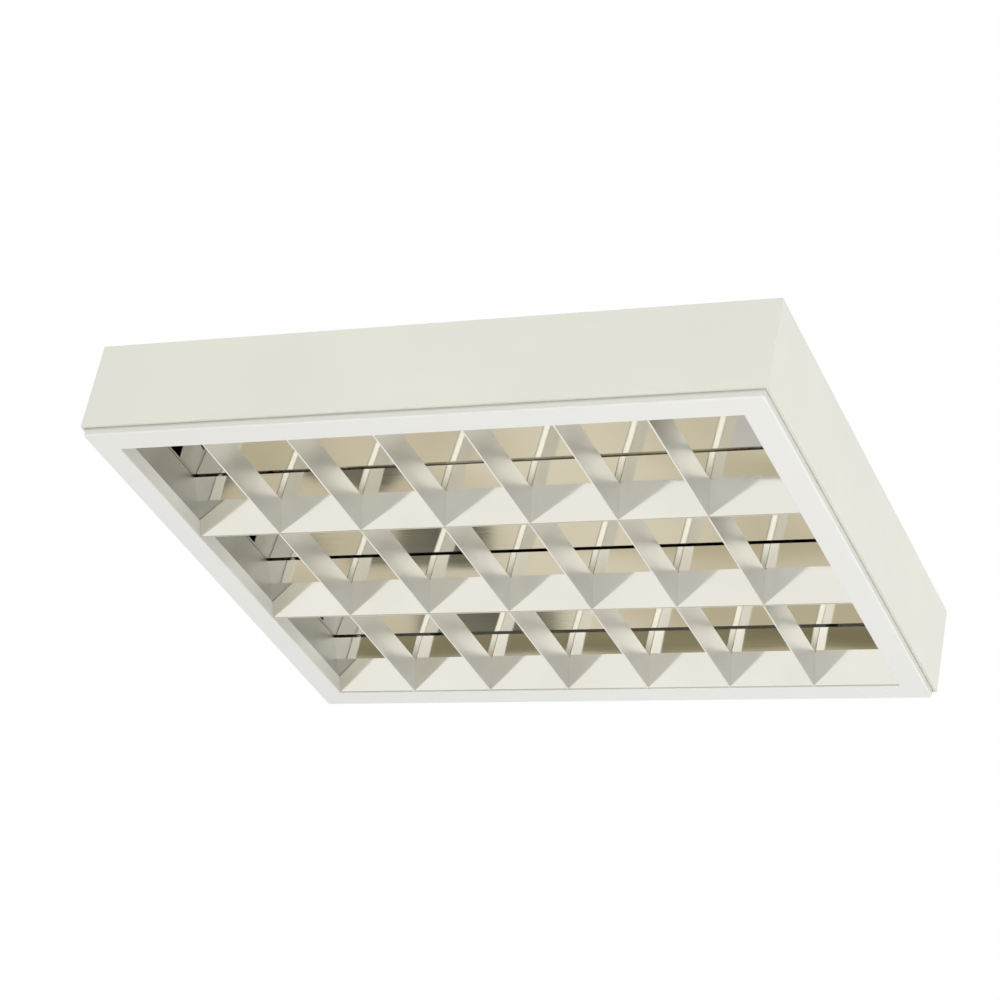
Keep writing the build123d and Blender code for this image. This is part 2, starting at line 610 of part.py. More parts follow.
def hinge_moving(x):
    """Leaf on the inside of the frame face with the two outer knuckles."""
    z0 = Z_FACE + SHEET
    span = knuckle_span()
    thick = HINGE_Z - KNUCKLE_D / 2 - z0 + LEAF_T
    leaf = block(x - span / 2, x + span / 2, HINGE_Y - MOVING_LEAF, HINGE_Y, z0, z0 + thick)
    outer = Pos(x, HINGE_Y, HINGE_Z) * Rot(0, 90, 0) * Cylinder(KNUCKLE_D / 2, span)
    leaf += outer
    gap = KNUCKLE_MID + 2 * KNUCKLE_GAP
    leaf -= block(x - gap / 2, x + gap / 2, HINGE_Y - KNUCKLE_D / 2 - 1.2, HINGE_Y + KNUCKLE_D,
                  z0 - 1, HINGE_Z + KNUCKLE_D)
    bore = PIN_HINGE_D + 2 * HINGE_BORE_GAP
    return leaf - Pos(x, HINGE_Y, HINGE_Z) * Rot(0, 90, 0) * Cylinder(bore / 2, span + 2)


def hinge_pin(x):
    pin = Pos(x, HINGE_Y, HINGE_Z) * Rot(0, 90, 0) * Cylinder(PIN_HINGE_D / 2, knuckle_span() + 2)
    return pin


def spring_clip(x):
    """Spring leaf on the near wall that bears on the outer upstand of the frame."""
    z_top = -LEAF_TOP
    face = -FRAME_W / 2 - CLIP_GAP
    z_touch = Z_FACE + RETURN_H - CLIP_LEN / 5
    line = Polyline((-Y_WALL, z_top), (-Y_WALL, z_top - CLIP_LEN / 3), (face - CLIP_T, z_touch),
                    (-Y_WALL + CLIP_T / 2, z_touch - CLIP_LEN / 6))
    leaf = extrude_x(sheet_face(line, CLIP_T, Side.LEFT), CLIP_W)
    return Pos(x, 0, 0) * leaf


# ------------------------------------------------------------------ electrical gear
def gear_screw_x():
    return GEAR_L / 2 + GEAR_TAB / 2


def gear_case():
    """Steel case of the electronic gear with a fixing tab at each end."""
    y = GAP_Y[0]
    case = block(-GEAR_L / 2, GEAR_L / 2, y - GEAR_W / 2, y + GEAR_W / 2, Z_ROOF - GEAR_H, Z_ROOF)
    case = fillet(case.faces().sort_by(Axis.Z)[0].edges(), GEAR_EDGE_R)
    for side in (-1, 1):
        x = side * GEAR_L / 2
        end = PLUG_L
        case -= block(x - side * end, x + side, y - PLUG_W / 2, y + PLUG_W / 2,
                      Z_ROOF - GEAR_TAB_T - PLUG_H, Z_ROOF - GEAR_TAB_T)
        tab = block(x - side * 2, x + side * GEAR_TAB, y - GEAR_W / 3, y + GEAR_W / 3,
                    Z_ROOF - GEAR_TAB_T, Z_ROOF)
        tab = fillet(tab.edges().filter_by(Axis.Z), 1.5)
        case += tab
        case -= rod(SCREW_D, 3 * GEAR_TAB_T, Pos(side * gear_screw_x(), y, Z_ROOF - 2 * GEAR_TAB_T))
    return case


def plug_z(level):
    """Height of the wires that leave the gear, one step per level."""
    return Z_ROOF - SHEET - WIRE_D / 2 - 0.3 - level * WIRE_STEP


def gear_plugs():
    """Push-in terminals, sunk into both ends of the gear."""
    plugs = []
    for side in (-1, 1):
        x = side * GEAR_L / 2
        y = GAP_Y[0]
        plug = block(x - side * PLUG_L, x, y - PLUG_W / 2, y + PLUG_W / 2,
                     Z_ROOF - GEAR_TAB_T - PLUG_H, Z_ROOF - GEAR_TAB_T)
        plugs.append(plug)
    return plugs


def gear_screws():
    return [pan_screw(side * gear_screw_x(), GAP_Y[0], Z_ROOF - GEAR_TAB_T, GEAR_TAB_T + SHEET)
            for side in (-1, 1)]


def block_x(pole):
    return (pole - (POLES - 1) / 2) * POLE_PITCH


def terminal_block():
    """Mains terminal block beside the cable entry: wire holes along Y and screw wells below."""
    y = GAP_Y[-1]
    length = POLES * POLE_PITCH
    body = block(-length / 2, length / 2, y - BLOCK_W / 2, y + BLOCK_W / 2, Z_ROOF - BLOCK_H, Z_ROOF)
    body = fillet(body.faces().sort_by(Axis.Z)[0].edges(), 1.2)
    for pole in range(POLES):
        hole = Pos(block_x(pole), y, Z_ROOF - BLOCK_H / 2) * Rot(90, 0, 0)
        body -= hole * Cylinder(BLOCK_HOLE / 2, BLOCK_W + 2)
        for side in (-1, 1):
            well = Pos(block_x(pole), y + side * BLOCK_W / 4, Z_ROOF - BLOCK_H - 1)
            body -= rod(BLOCK_SCREW_D, 1 + BLOCK_H / 2 - BLOCK_HOLE / 2, well)
    return body


def terminal_screws():
    screws = []
    for pole in range(POLES):
        for side in (-1, 1):
            z0 = Z_ROOF - BLOCK_H + 1.5
            place = Pos(block_x(pole), GAP_Y[-1] + side * BLOCK_W / 4, z0)
            screw = rod(BLOCK_SCREW_D - 0.2, BLOCK_H / 2 - BLOCK_HOLE / 2 - 1.7, place)
            x, y = block_x(pole), GAP_Y[-1] + side * BLOCK_W / 4
            screw -= block(x - 1.4, x + 1.4, y - 0.4, y + 0.4, z0 - 1, z0 + 0.6)
            screws.append(screw)
    return screws


def earth_stud():
    """Earth stud through the roof with its nut and the ring of its washer."""
    x, y = EARTH_X, GAP_Y[-1]
    stud = rod(EARTH_D - 0.2, EARTH_LEN, Pos(x, y, -EARTH_LEN))
    nut = extrude(RegularPolygon(EARTH_NUT_W / 2, 6, major_radius=False), EARTH_NUT_T)
    return stud + Pos(x, y, Z_ROOF - EARTH_NUT_T) * nut


def wire(points, diameter=WIRE_D):
    """Insulated wire along straight runs with square bends."""
    path = Polyline(*points)
    start = Plane(origin=points[0], z_dir=Vector(*points[1]) - Vector(*points[0]))
    return sweep(start * Circle(diameter / 2), path=path, transition=Transition.RIGHT)


def lamp_wires():
    """Two wires from the gear to each lampholder at +X, stacked so that none cross."""
    wires = []
    y_gear = GAP_Y[0]
    room = X_HOLDER - X_PLATE - SHEET
    target_x = X_HOLDER + HOLDER_T / 2
    for row, y_row in enumerate(ROW_Y):
        side = 1 if y_row > y_gear else -1
        rank = max(row - 1, 0)
        run_x = X_HOLDER - (rank + 1) * room / ROWS
        y0 = y_gear + side * (WIRE_OUT + rank * WIRE_LANE)
        for k in range(2):
            y1 = y_row + side * (k - 0.5) * 2 * WIRE_OUT
            z = plug_z(1 + k)
            top = plug_z(0)
            wires.append(wire([(GEAR_L / 2, y0, z), (run_x, y0, z), (run_x, y1, z), (run_x, y1, top),
                               (target_x, y1, top), (target_x, y1, holder_top())]))
    return wires


def mains_wires():
    """Three wires from the terminal block over the middle reflector to the gear."""
    wires = []
    y_block = GAP_Y[-1] - BLOCK_W / 2
    z_block = Z_ROOF - BLOCK_H / 2
    for pole in range(POLES):
        x = block_x(pole)
        y_far = GAP_Y[0] + GEAR_W / 2
        y_drop = y_block - 4
        wires.append(wire([(x, y_block + 3, z_block), (x, y_drop, z_block),
                           (x, y_drop, plug_z(0) - 0.4), (x, y_far, plug_z(0) - 0.4)]))
    return wires


# ------------------------------------------------------------------ parts
def both(shape):
    return [shape, mirror_x(shape)]


save("housing_body", housing_body())
save("housing_end_left", mirror_x(housing_end()))
save("housing_end_right", housing_end())
save("cable_grommet", cable_grommet())
for i in range(ROWS):
    save(f"upper_reflector_{i + 1}", upper_reflector(i))
save("reflector_hangers", [gap_hanger(x, y) for y in GAP_Y for x in (-HANGER_X, HANGER_X)])
save("side_hangers", [side_hanger(x, s) for s in (-1, 1) for x in (-HANGER_X, HANGER_X)])
save("reflector_screws", reflector_screws())
save("end_reflector_left", mirror_x(end_reflector()))
save("end_reflector_right", end_reflector())
save("holder_bracket_left", mirror_x(holder_bracket()))
save("holder_bracket_right", holder_bracket())
for i in range(ROWS):
    save(f"lampholder_left_{i + 1}", mirror_x(lampholder(i)))
    save(f"lampholder_right_{i + 1}", lampholder(i))
save("lamp_contacts", lamp_contacts())
for i, y in enumerate(ROW_Y):
    save(f"lamp_glass_{i + 1}", lamp_glass(y))
    save(f"lamp_caps_{i + 1}", both(lamp_cap(y)))
    save(f"lamp_pins_{i + 1}", lamp_pins(y))
    save(f"lamp_rotors_{i + 1}", both(lamp_rotor(y)))
    save(f"lamp_cathodes_{i + 1}", both(lamp_cathode(y)))
save("door_frame", door_frame())
for i, y in enumerate(GAP_Y):
    save(f"louvre_ridge_{i + 1}", louvre_ridge(y))
save("louvre_side_near", louvre_side(-1))
save("louvre_side_far", louvre_side(1))
blade = cross_blade()
for i in range(ROWS):
    save(f"cross_blades_{i + 1}", blade_row(i, blade))
save("louvre_end_left", mirror_x(louvre_end()))
save("louvre_end_right", louvre_end())
save("louvre_rivets", louvre_rivets())
save("hinge_leaves_fixed", [hinge_fixed(x) for x in (-HINGE_X, HINGE_X)])
save("hinge_leaves_moving", [hinge_moving(x) for x in (-HINGE_X, HINGE_X)])
save("hinge_pins", [hinge_pin(x) for x in (-HINGE_X, HINGE_X)])
save("spring_clips", [spring_clip(x) for x in (-CLIP_X, CLIP_X)])
save("gear_case", gear_case())
save("gear_plugs", gear_plugs())
save("gear_screws", gear_screws())
save("terminal_block", terminal_block())
save("terminal_screws", terminal_screws())
save("earth_stud", earth_stud())
save("lamp_wires_left", [mirror_x(w) for w in lamp_wires()])
save("lamp_wires_right", lamp_wires())
save("mains_wires", mains_wires())
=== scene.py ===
import json
import math

import bmesh
import bpy
from mathutils import Matrix, Quaternion, Vector

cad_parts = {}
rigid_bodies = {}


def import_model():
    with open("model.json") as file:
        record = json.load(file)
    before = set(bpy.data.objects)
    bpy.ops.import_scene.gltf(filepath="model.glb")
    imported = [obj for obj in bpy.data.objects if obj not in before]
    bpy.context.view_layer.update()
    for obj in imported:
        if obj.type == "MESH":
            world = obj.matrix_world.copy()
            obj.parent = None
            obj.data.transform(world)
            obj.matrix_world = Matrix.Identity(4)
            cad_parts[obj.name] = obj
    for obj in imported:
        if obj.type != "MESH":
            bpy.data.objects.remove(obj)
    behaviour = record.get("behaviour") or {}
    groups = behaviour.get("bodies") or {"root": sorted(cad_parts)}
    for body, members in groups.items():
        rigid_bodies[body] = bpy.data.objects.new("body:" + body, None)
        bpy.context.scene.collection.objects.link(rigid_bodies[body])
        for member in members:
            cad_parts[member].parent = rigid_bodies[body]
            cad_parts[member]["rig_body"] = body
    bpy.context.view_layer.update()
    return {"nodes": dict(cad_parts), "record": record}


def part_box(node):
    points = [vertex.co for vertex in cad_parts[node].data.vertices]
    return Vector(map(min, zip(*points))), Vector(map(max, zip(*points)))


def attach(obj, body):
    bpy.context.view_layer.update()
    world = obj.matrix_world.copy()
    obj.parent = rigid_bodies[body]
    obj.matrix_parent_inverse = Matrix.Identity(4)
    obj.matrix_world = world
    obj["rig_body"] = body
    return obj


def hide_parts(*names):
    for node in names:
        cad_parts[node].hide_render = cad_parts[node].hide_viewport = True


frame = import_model()
scene = bpy.context.scene
nodes = frame["nodes"]

ROWS = (1, 2, 3)
SIDES = ("left", "right")
CELL = 0.5712 / 7         # pitch of the louvre cells along X, in metres
FLANK = 23.2              # lean of the ridges' lower flanks at mid length, in degrees
FLANK_TWIST = 7.0         # change of that lean in degrees for each metre along X
FLANK_TOP = 0.0276        # height of the lower flanks over the bottom of a ridge
SHARP = 22.0              # a fold steeper than this stays a sharp edge, in degrees
FOLD_HIGHLIGHT_FACING = -0.5        # faces of a cross blade that look down more than this are its folded edge, which gets a painted highlight
AIM = (0, 0, -0.05)       # what the lamps point at
FLAG_AIM = (0, 0, -0.07)  # what the studio flags face
FLOOR_Z = -2.4
FLOOR_HALF = 25
FLOOR_FADE = (3.4, 6.5)   # the floor runs out into white between these distances

FLOAT, VECTOR = "NodeSocketFloat", "NodeSocketVector"

slots = {}
for entry in frame["record"]["subparts"]:
    slots[entry["node"]] = entry["material_slot"]
for side in SIDES:
    slots["end_reflector_" + side] = "mirror_aluminium"


# ------------------------------------------------------------------ node helpers
class Tree:
    """Short hand for building a node tree."""

    def __init__(self, tree):
        self.tree = tree

    def node(self, kind, **values):
        """New node; a name that starts with in_ sets a socket, any other one a property."""
        node = self.tree.nodes.new(kind)
        for key, value in values.items():
            if key.startswith("in_"):
                node.inputs[key[3:].replace("_", " ")].default_value = value
            else:
                setattr(node, key, value)
        return node

    def link(self, a, b):
        self.tree.links.new(a, b)

    def place(self):
        """Object coordinates, split into X, Y and Z."""
        coord = self.node("ShaderNodeTexCoord")
        parts = self.node("ShaderNodeSeparateXYZ")
        self.link(coord.outputs["Object"], parts.inputs["Vector"])
        return parts.outputs

    def noise(self, scale, detail, rough=0.5):
        coord = self.node("ShaderNodeTexCoord")
        noise = self.node("ShaderNodeTexNoise", in_Scale=scale, in_Detail=detail, in_Roughness=rough)
        self.link(coord.outputs["Object"], noise.inputs["Vector"])
        return noise

    def spread(self, value, low, high, start=0.3, end=0.7):
        """Bring a value from the range start..end into the range low..high."""
        span = self.node("ShaderNodeMapRange", in_From_Min=start, in_From_Max=end, in_To_Min=low, in_To_Max=high)
        self.link(value, span.inputs["Value"])
        return span.outputs["Result"]

    def mix(self, value, first, second):
        mix = self.node("ShaderNodeMix", data_type="RGBA")
        mix.inputs[6].default_value = (*first, 1)
        mix.inputs[7].default_value = (*second, 1)
        self.link(value, mix.inputs[0])
        return mix.outputs[2]

    def uneven(self, scale, detail, low=0.0, high=1.0, start=0.3, end=0.7):
        """The shared unevenness with its own values."""
        node = self.node("ShaderNodeGroup", node_tree=uneven_effect, in_Scale=scale, in_Detail=detail,
                         in_Start=start, in_End=end, in_Low=low, in_High=high)
        return node.outputs["Value"]

    def grain(self, scale, strength, distance):
        """The shared fine grain with its own values."""
        node = self.node("ShaderNodeGroup", node_tree=grain_effect, in_Scale=scale, in_Strength=strength,
                         in_Distance=distance)
        return node.outputs["Normal"]


def new_effect(name, given, results):
    """Empty shader group with named sockets, and its Tree, input node and output node."""
    group = bpy.data.node_groups.new(name, "ShaderNodeTree")
    for label, kind in given:
        group.interface.new_socket(label, in_out="INPUT", socket_type=kind)
    for label, kind in results:
        group.interface.new_socket(label, in_out="OUTPUT", socket_type=kind)
    t = Tree(group)
    return group, t, t.node("NodeGroupInput").outputs, t.node("NodeGroupOutput").inputs


def make_uneven():
    """Soft patches over the surface, brought into a range of values."""
    labels = ("Scale", "Detail", "Start", "End", "Low", "High")
    group, t, given, out = new_effect("uneven", [(label, FLOAT) for label in labels], [("Value", FLOAT)])
    noise = t.noise(1.0, 0.0)
    span = t.node("ShaderNodeMapRange")
    t.link(given["Scale"], noise.inputs["Scale"])
    t.link(given["Detail"], noise.inputs["Detail"])
    t.link(noise.outputs["Fac"], span.inputs["Value"])
    for label, socket in (("Start", "From Min"), ("End", "From Max"), ("Low", "To Min"), ("High", "To Max")):
        t.link(given[label], span.inputs[socket])
    t.link(span.outputs["Result"], out["Value"])
    return group


def make_grain():
    """Fine relief of a coat, a casting or a plated skin."""
    labels = ("Scale", "Strength", "Distance")
    group, t, given, out = new_effect("grain", [(label, FLOAT) for label in labels], [("Normal", VECTOR)])
    noise = t.noise(1.0, 2.0)
    bump = t.node("ShaderNodeBump")
    t.link(given["Scale"], noise.inputs["Scale"])
    t.link(given["Strength"], bump.inputs["Strength"])
    t.link(given["Distance"], bump.inputs["Distance"])
    t.link(noise.outputs["Fac"], bump.inputs["Height"])
    t.link(bump.outputs["Normal"], out["Normal"])
    return group


def make_rolled():
    """Rolling lines of sheet metal, over a slow wave in its flatness."""
    given = [("Stretch", VECTOR), ("Low", FLOAT), ("High", FLOAT), ("Wave", FLOAT)]
    group, t, given, out = new_effect("rolled", given, [("Roughness", FLOAT), ("Normal", VECTOR)])
    coord = t.node("ShaderNodeTexCoord")
    mapping = t.node("ShaderNodeMapping")
    lines = t.node("ShaderNodeTexNoise", in_Scale=2.0, in_Detail=4.0, in_Roughness=0.6)
    t.link(coord.outputs["Object"], mapping.inputs["Vector"])
    t.link(given["Stretch"], mapping.inputs["Scale"])
    t.link(mapping.outputs["Vector"], lines.inputs["Vector"])
    span = t.node("ShaderNodeMapRange", in_From_Min=0.3, in_From_Max=0.7)
    t.link(lines.outputs["Fac"], span.inputs["Value"])
    t.link(given["Low"], span.inputs["To Min"])
    t.link(given["High"], span.inputs["To Max"])
    t.link(span.outputs["Result"], out["Roughness"])
    slow = t.node("ShaderNodeBump", in_Strength=1.0)
    t.link(given["Wave"], slow.inputs["Distance"])
    t.link(t.noise(7.0, 1.0).outputs["Fac"], slow.inputs["Height"])
    fine = t.node("ShaderNodeBump", in_Strength=0.02, in_Distance=0.00002)
    t.link(lines.outputs["Fac"], fine.inputs["Height"])
    t.link(slow.outputs["Normal"], fine.inputs["Normal"])
    t.link(fine.outputs["Normal"], out["Normal"])
    return group


def make_crystals():
    """Crystals in a plated skin, as a mask."""
    group, t, given, out = new_effect("crystals", [("Scale", FLOAT)], [("Mask", FLOAT)])
    coord = t.node("ShaderNodeTexCoord")
    cells = t.node("ShaderNodeTexVoronoi")
    t.link(coord.outputs["Object"], cells.inputs["Vector"])
    t.link(given["Scale"], cells.inputs["Scale"])
    t.link(t.spread(cells.outputs["Distance"], 0, 1, 0.1, 0.7), out["Mask"])
    return group


uneven_effect = make_uneven()
grain_effect = make_grain()
rolled_effect = make_rolled()
crystal_effect = make_crystals()


# ------------------------------------------------------------------ finishes
def material(name, **sockets):
    """New material with its tree and its Principled shader."""
    made = bpy.data.materials.new(name)
    made.use_nodes = True
    shader = made.node_tree.nodes["Principled BSDF"]
    for key, value in sockets.items():
        shader.inputs[key.replace("_", " ")].default_value = value
    return made, Tree(made.node_tree), shader


def dress(t, shader, colour, rough, normal=None):
    """Link a colour, a roughness and a normal to the shader."""
    t.link(colour, shader.inputs["Base Color"])
    t.link(rough, shader.inputs["Roughness"])
    if normal:
        t.link(normal, shader.inputs["Normal"])


def enamel(name, light, dark):
    """Sprayed and baked enamel: faint orange peel and a little unevenness in tone."""
    made, t, s = material(name, Roughness=0.36, Coat_Weight=0.25, Coat_Roughness=0.22)
    colour = t.mix(t.uneven(9.0, 2.0, start=0.35, end=0.65), light, dark)
    dress(t, s, colour, t.uneven(35.0, 4.0, 0.32, 0.42), t.grain(900.0, 0.10, 0.0002))
    return made


def frame_enamel():
    """Enamel of the louvre frame, with painted shade on its upturned sides in the recess under the housing
    walls.
    """
    made, t, s = material("frame_enamel_painted_shade", Roughness=0.36, Coat_Weight=0.25, Coat_Roughness=0.22)
    # painted shade: the frame's sides between these heights are mixed to a darker tone, as if shaded by the
    # overhanging wall
    side = t.spread(t.place()["Z"], 0, 1, -0.0906, -0.0896)
    colour = t.mix(side, (0.88, 0.875, 0.845), (0.71, 0.70, 0.64))
    dress(t, s, colour, t.uneven(35.0, 4.0, 0.32, 0.42), t.grain(900.0, 0.10, 0.0002))
    return made


def bright_sheet(name, light, dark, low, high, along, wave=0.0):
    """Anodised sheet with fine rolling lines along one axis, and slightly uneven over its length."""
    made, t, s = material(name, Metallic=1.0, Roughness=0.12)
    stretch = [420.0, 420.0, 420.0]
    stretch[along] = 6.0
    rolled = t.node("ShaderNodeGroup", node_tree=rolled_effect, in_Stretch=stretch, in_Low=low, in_High=high,
                    in_Wave=wave)
    colour = t.mix(t.uneven(14.0, 3.0, start=0.35, end=0.65), light, dark)
    dress(t, s, colour, rolled.outputs["Roughness"], rolled.outputs["Normal"])
    return made


def plated(name, light, dark, low, high, size):
    """Plated or rolled steel with small crystals in its tone."""
    made, t, s = material(name, Metallic=1.0, Roughness=0.35)
    crystals = t.node("ShaderNodeGroup", node_tree=crystal_effect, in_Scale=size)
    colour = t.mix(crystals.outputs["Mask"], light, dark)
    dress(t, s, colour, t.uneven(60.0, 4.0, low, high), t.grain(700.0, 0.08, 0.0001))
    return made


def moulded(name, light, dark, rough=0.4, coat=0.0):
    """Moulded plastic or rubber with a fine spark-eroded grain."""
    made, t, s = material(name, Roughness=rough, Coat_Weight=coat, Coat_Roughness=0.1)
    colour = t.mix(t.uneven(25.0, 3.0), light, dark)
    dress(t, s, colour, t.uneven(90.0, 3.0, rough - 0.05, rough + 0.06), t.grain(1500.0, 0.12, 0.0001))
    return made


def tube_glass():
    """White phosphor seen through the glass of the tube, greyer towards the ends."""
    made, t, s = material("phosphor_tube", Roughness=0.5, Coat_Weight=1.0, Coat_Roughness=0.03)
    reach = t.node("ShaderNodeMath", operation="ABSOLUTE")
    t.link(t.place()["X"], reach.inputs[0])
    ends = t.spread(reach.outputs[0], 0, 1, 0.262, 0.283)
    dress(t, s, t.mix(ends, (0.87, 0.87, 0.85), (0.42, 0.41, 0.39)), t.uneven(300.0, 2.0, 0.45, 0.55))
    return made


def wire_colours():
    """Coloured insulation; the colour of a lead follows its own level in the loom."""
    made, t, s = material("loom_insulation", Roughness=0.4)
    ramp = t.node("ShaderNodeValToRGB")
    ramp.color_ramp.interpolation = "CONSTANT"
    bars = ramp.color_ramp.elements
    bars[0].position, bars[0].color = 0.0, (0.16, 0.08, 0.04, 1)
    bars[1].position, bars[1].color = 0.34, (0.05, 0.14, 0.42, 1)
    bars.new(0.67).color = (0.75, 0.75, 0.72, 1)
    t.link(t.spread(t.place()["Z"], 0, 1, -0.012, -0.002), ramp.inputs["Fac"])
    dress(t, s, ramp.outputs["Color"], t.uneven(200.0, 2.0, 0.35, 0.48))
    return made


finishes = {
    "white_enamel": enamel("white_enamel_coat", (0.785, 0.775, 0.69), (0.765, 0.755, 0.675)),
    "gear_enamel": enamel("gear_enamel_coat", (0.72, 0.72, 0.69), (0.68, 0.68, 0.65)),
    "mirror_aluminium": bright_sheet(
        "bright_sheet_x", (0.83, 0.815, 0.735), (0.80, 0.785, 0.705), 0.05, 0.09, 0, 0.0008),
    "zinc_steel": plated("zinc_plate", (0.66, 0.67, 0.68), (0.52, 0.53, 0.55), 0.28, 0.45, 160.0),
    "spring_steel": plated("blued_spring", (0.34, 0.35, 0.38), (0.22, 0.23, 0.27), 0.22, 0.34, 240.0),
    "white_plastic": moulded("white_moulding", (0.82, 0.82, 0.79), (0.79, 0.79, 0.76), 0.32, 0.3),
    "grey_plastic": moulded("grey_moulding", (0.42, 0.43, 0.44), (0.37, 0.38, 0.39), 0.42),
    "phosphor_glass": tube_glass(),
    "clear_glass": moulded("glass_bead", (0.70, 0.74, 0.74), (0.62, 0.66, 0.66), 0.08, 0.6),
    "cap_aluminium": bright_sheet("cap_sheet", (0.62, 0.62, 0.61), (0.52, 0.52, 0.52), 0.30, 0.42, 0),
    "brass": plated("brass_pins", (0.62, 0.46, 0.19), (0.50, 0.36, 0.14), 0.22, 0.36, 200.0),
    "wire_insulation": wire_colours(),
    "rubber": moulded("black_rubber", (0.035, 0.035, 0.036), (0.022, 0.022, 0.023), 0.62),
}
blade_sheet = bright_sheet("satin_sheet_y", (0.64, 0.635, 0.61), (0.60, 0.595, 0.575), 0.28, 0.33, 1)
end_sheet = bright_sheet("end_sheet_y", (0.50, 0.50, 0.475), (0.47, 0.47, 0.45), 0.44, 0.48, 1)
frame_coat_painted_shade = frame_enamel()
# Cream enamel for the folded lower edges of the cross blades: a painted highlight where the fold catches the
# light.
fold_painted_highlight = enamel("fold_edge_painted_highlight", (0.88, 0.87, 0.82), (0.86, 0.85, 0.80))
# Brighter white for the tops of the cross blades: painted light that stands in for the light the reflectors
# throw on them.
top_painted_light_coat = enamel("top_sheet_painted_light", (0.93, 0.925, 0.88), (0.91, 0.905, 0.86))


def finish_of(name):
    """Finish of a node: that of its slot, or the one that its own sheet or coat has."""
    if name.startswith("cross_blades"):
        return blade_sheet
    if name.startswith(("louvre_end", "end_reflector")):
        return end_sheet
    if name == "door_frame":
        # the door frame's coat carries painted shade on its upturned sides
        return frame_coat_painted_shade
    return finishes[slots[name]]


for name, node in nodes.items():
    for slot in node.material_slots:
        slot.material = finish_of(name)


# ------------------------------------------------------------------ smooth skins of the pieces
def flatten_flanks(mesh):
    """Let the lower flanks of a ridge mirror like flat sheet up to their top."""
    bottom = min(v.co.z for v in mesh.vertices)
    normals = [Vector(n.vector) for n in mesh.corner_normals]
    for face in mesh.polygons:
        n = face.normal
        top = max(mesh.vertices[v].co.z for v in face.vertices)
        along = abs(n.x) <= 0.05 and abs(n.y) >= 0.6 and -0.72 < n.z < -0.2
        low = face.center.z > bottom + 0.0008 and top <= bottom + FLANK_TOP + 0.0004
        if not (along and low):
            continue
        for corner in face.loop_indices:
            x = mesh.vertices[mesh.loops[corner].vertex_index].co.x
            lean = math.radians(FLANK - FLANK_TWIST * x)
            normals[corner] = Vector((0, math.copysign(math.cos(lean), n.y), -math.sin(lean)))
    mesh.normals_split_custom_set(normals)


def new_piece(name, mesh, body):
    """Object for a finished mesh, which rides on a body."""
    piece = bpy.data.objects.new(name, mesh)
    scene.collection.objects.link(piece)
    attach(piece, body)
    return piece


def smooth_skin(name):
    """A merged copy of a node, smooth over its curves and sharp at its folds."""
    source = nodes[name]
    mesh = source.data.copy()
    mesh.name = name + "_skin"
    bm = bmesh.new()
    bm.from_mesh(mesh)
    bmesh.ops.remove_doubles(bm, verts=bm.verts, dist=1e-6)
    for face in bm.faces:
        face.smooth = True
    for edge in bm.edges:
        edge.smooth = len(edge.link_faces) == 2 and edge.calc_face_angle(0.0) < math.radians(SHARP)
    bm.to_mesh(mesh)
    bm.free()
    if name.startswith(("louvre_ridge", "louvre_side")):
        flatten_flanks(mesh)
    mesh.materials.clear()
    mesh.materials.append(finish_of(name))
    # the downward faces of a cross blade take the cream enamel: a painted highlight along the fold
    if name.startswith("cross_blades"):
        mesh.materials.append(fold_painted_highlight)
        for face in mesh.polygons:
            if face.normal.z < FOLD_HIGHLIGHT_FACING:
                face.material_index = 1
    piece = new_piece(name + "_skin", mesh, source["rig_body"])
    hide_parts(name)


for name in sorted(nodes):
    smooth_skin(name)


# ------------------------------------------------------------------ thin trim
def strip(name, body, finish, sections):
    """Folded strips swept straight: each section is (axis, start, end, points of a closed outline)."""
    mesh = bpy.data.meshes.new(name)
    bm = bmesh.new()
    for axis, start, end, outline in sections:
        ring = []
        for a, b in outline:
            ring.append(bm.verts.new((start, a, b) if axis == 0 else (a, start, b)))
        made = bmesh.ops.extrude_face_region(bm, geom=[bm.faces.new(ring)])
        moved = [v for v in made["geom"] if isinstance(v, bmesh.types.BMVert)]
        shift = (end - start, 0, 0) if axis == 0 else (0, end - start, 0)
        bmesh.ops.translate(bm, verts=moved, vec=shift)
    bmesh.ops.recalc_face_normals(bm, faces=bm.faces)
    bm.to_mesh(mesh)
    bm.free()
    mesh.materials.append(finish)
    new_piece(name, mesh, body)


def channel(middle, top, half, leg, sheet):
    """Outline of a shallow channel that is open below."""
    left, right = middle - half, middle + half
    return [(left, top - leg), (left, top), (right, top), (right, top - leg),
            (right - sheet, top - leg), (right - sheet, top - sheet),
            (left + sheet, top - sheet), (left + sheet, top - leg)]


def blade_tops(row):
    """Folded tops that close the cross blades of a row."""
    name = "cross_blades_%d" % row
    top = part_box(name)[1].z
    rim, play, leg, sheet = 0.0002, 0.0003, 0.0016, 0.0004
    blades = {}
    for vertex in nodes[name].data.vertices:
        if vertex.co.z > top - rim:
            blades.setdefault(round(vertex.co.x / CELL - 0.5), []).append(vertex.co)
    sections = []
    for index, points in blades.items():
        x = (index + 0.5) * CELL
        half = max(abs(co.x - x) for co in points) - 0.0007
        y0, y1 = min(co.y for co in points), max(co.y for co in points)
        sections.append((1, y0 + play, y1 - play, channel(x, top - rim, half, leg, sheet)))
    # the tops take the brighter white: painted light
    strip("blade_tops_%d" % row, "door", top_painted_light_coat, sections)


def wall_hems():
    """Edge of the housing walls turned in towards the frame."""
    low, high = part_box("housing_body")
    frame_low, frame_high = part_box("door_frame")
    z, t, gap, worn = low.z + 0.00006, 0.0008, 0.0003, 0.0002
    near = (low.y + t, frame_low.y - gap)
    far = (high.y - 2 * t, high.y - t)
    sections = []
    for a, b in (near, far):
        outline = [(a, z), (a, z + t), (b, z + t), (b, z + worn), (b - worn, z)]
        sections.append((0, low.x + t, high.x - t, outline))
    for a, b in ((low.x + t, frame_low.x - gap), (frame_high.x + gap, high.x - t)):
        sections.append((1, near[1], far[0], [(a, z), (a, z + t), (b, z + t), (b, z)]))
    strip("wall_hems", "housing", finishes["white_enamel"], sections)


